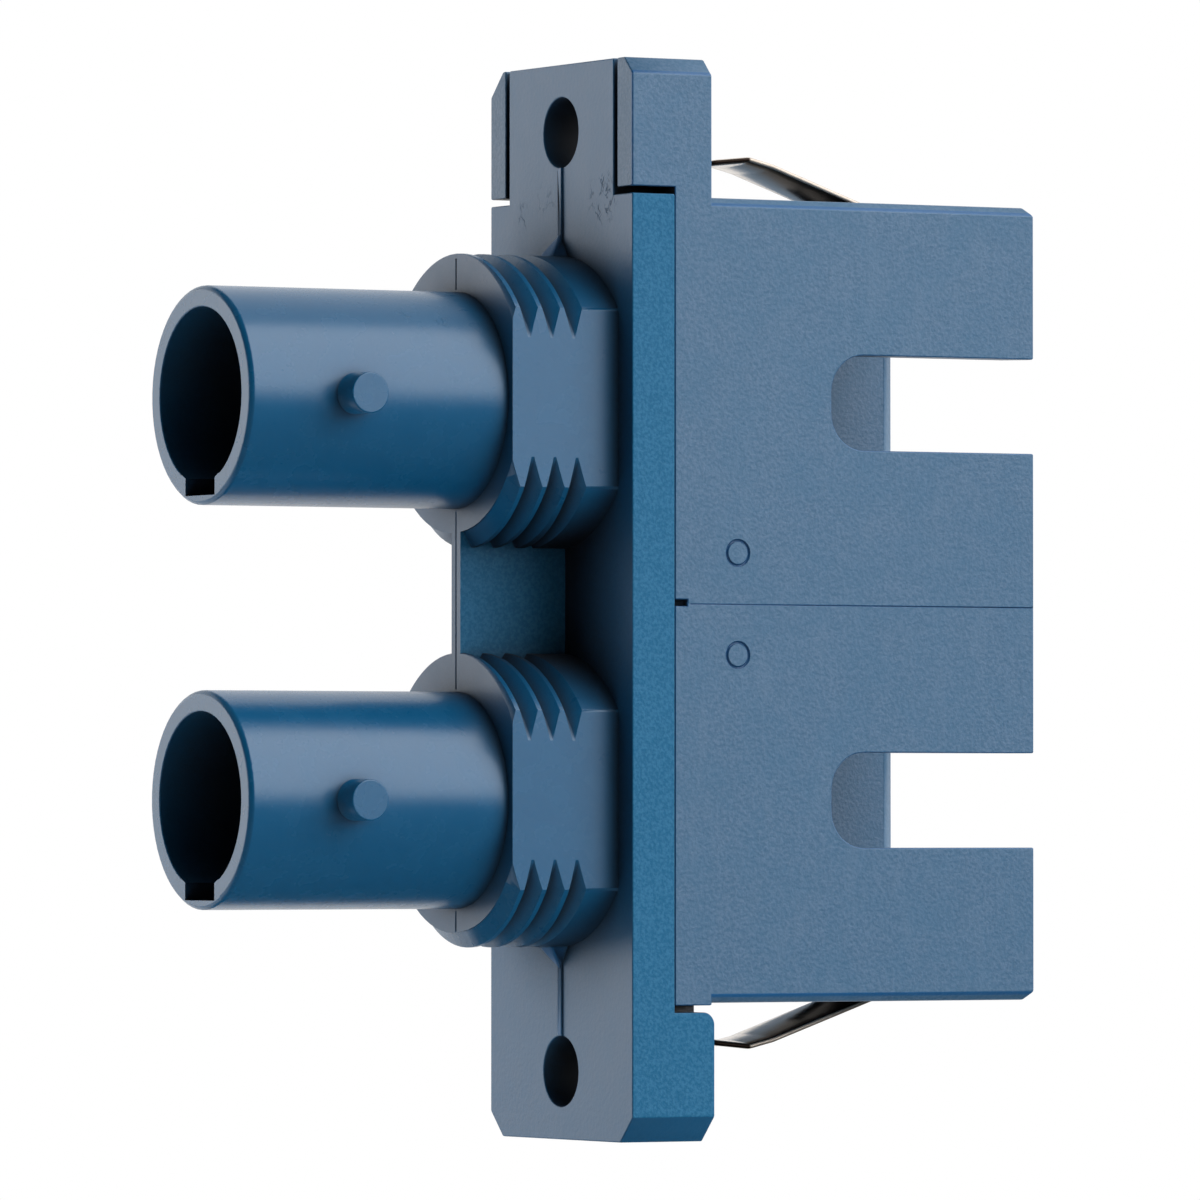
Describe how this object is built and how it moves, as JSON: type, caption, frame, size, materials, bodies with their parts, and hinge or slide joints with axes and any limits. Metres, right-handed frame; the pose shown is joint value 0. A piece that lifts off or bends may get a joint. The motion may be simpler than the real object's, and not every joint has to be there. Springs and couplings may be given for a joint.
{
  "type": "duplex fibre optic coupler",
  "caption": "Duplex fibre optic coupler: threaded bayonet barrels before a screw flange, square push-pull ports with key slots behind it, leaf clips on the narrow sides.",
  "frame": {"origin": "centre of the flange's rear face, the face that meets the panel, midway between the panel screw holes", "axes": "+X along the plugs towards the square ports, -X towards the bayonet barrels, +Z along the row of channels, -Y is the wide side with the key slots"},
  "size_m": [0.0279, 0.0094, 0.0344],
  "materials": {
    "blue_moulding": "satin, fine mould texture",
    "insert_moulding": "satin",
    "sleeve_ceramic": "polished",
    "clip_steel": "cold rolled"
  },
  "bodies": {
    "coupler": {"front_housing": "blue_moulding", "rear_housing": "blue_moulding", "upper_sleeve": "sleeve_ceramic", "lower_sleeve": "sleeve_ceramic", "upper_latch_insert": "insert_moulding", "lower_latch_insert": "insert_moulding"},
    "upper_clip": {"upper_clip": "clip_steel"},
    "lower_clip": {"lower_clip": "clip_steel"}
  },
  "joints": [
    {"name": "upper_clip_flex", "type": "hinge", "parent": "coupler", "child": "upper_clip", "pos_m": [0.008, 0, 0.0127], "axis": [0, -1, 0], "range_deg": [0, 10], "stiffness_Nm_per_rad": 0.15},
    {"name": "lower_clip_flex", "type": "hinge", "parent": "coupler", "child": "lower_clip", "pos_m": [0.008, 0, -0.0127], "axis": [0, 1, 0], "range_deg": [0, 10], "stiffness_Nm_per_rad": 0.15}
  ]
}
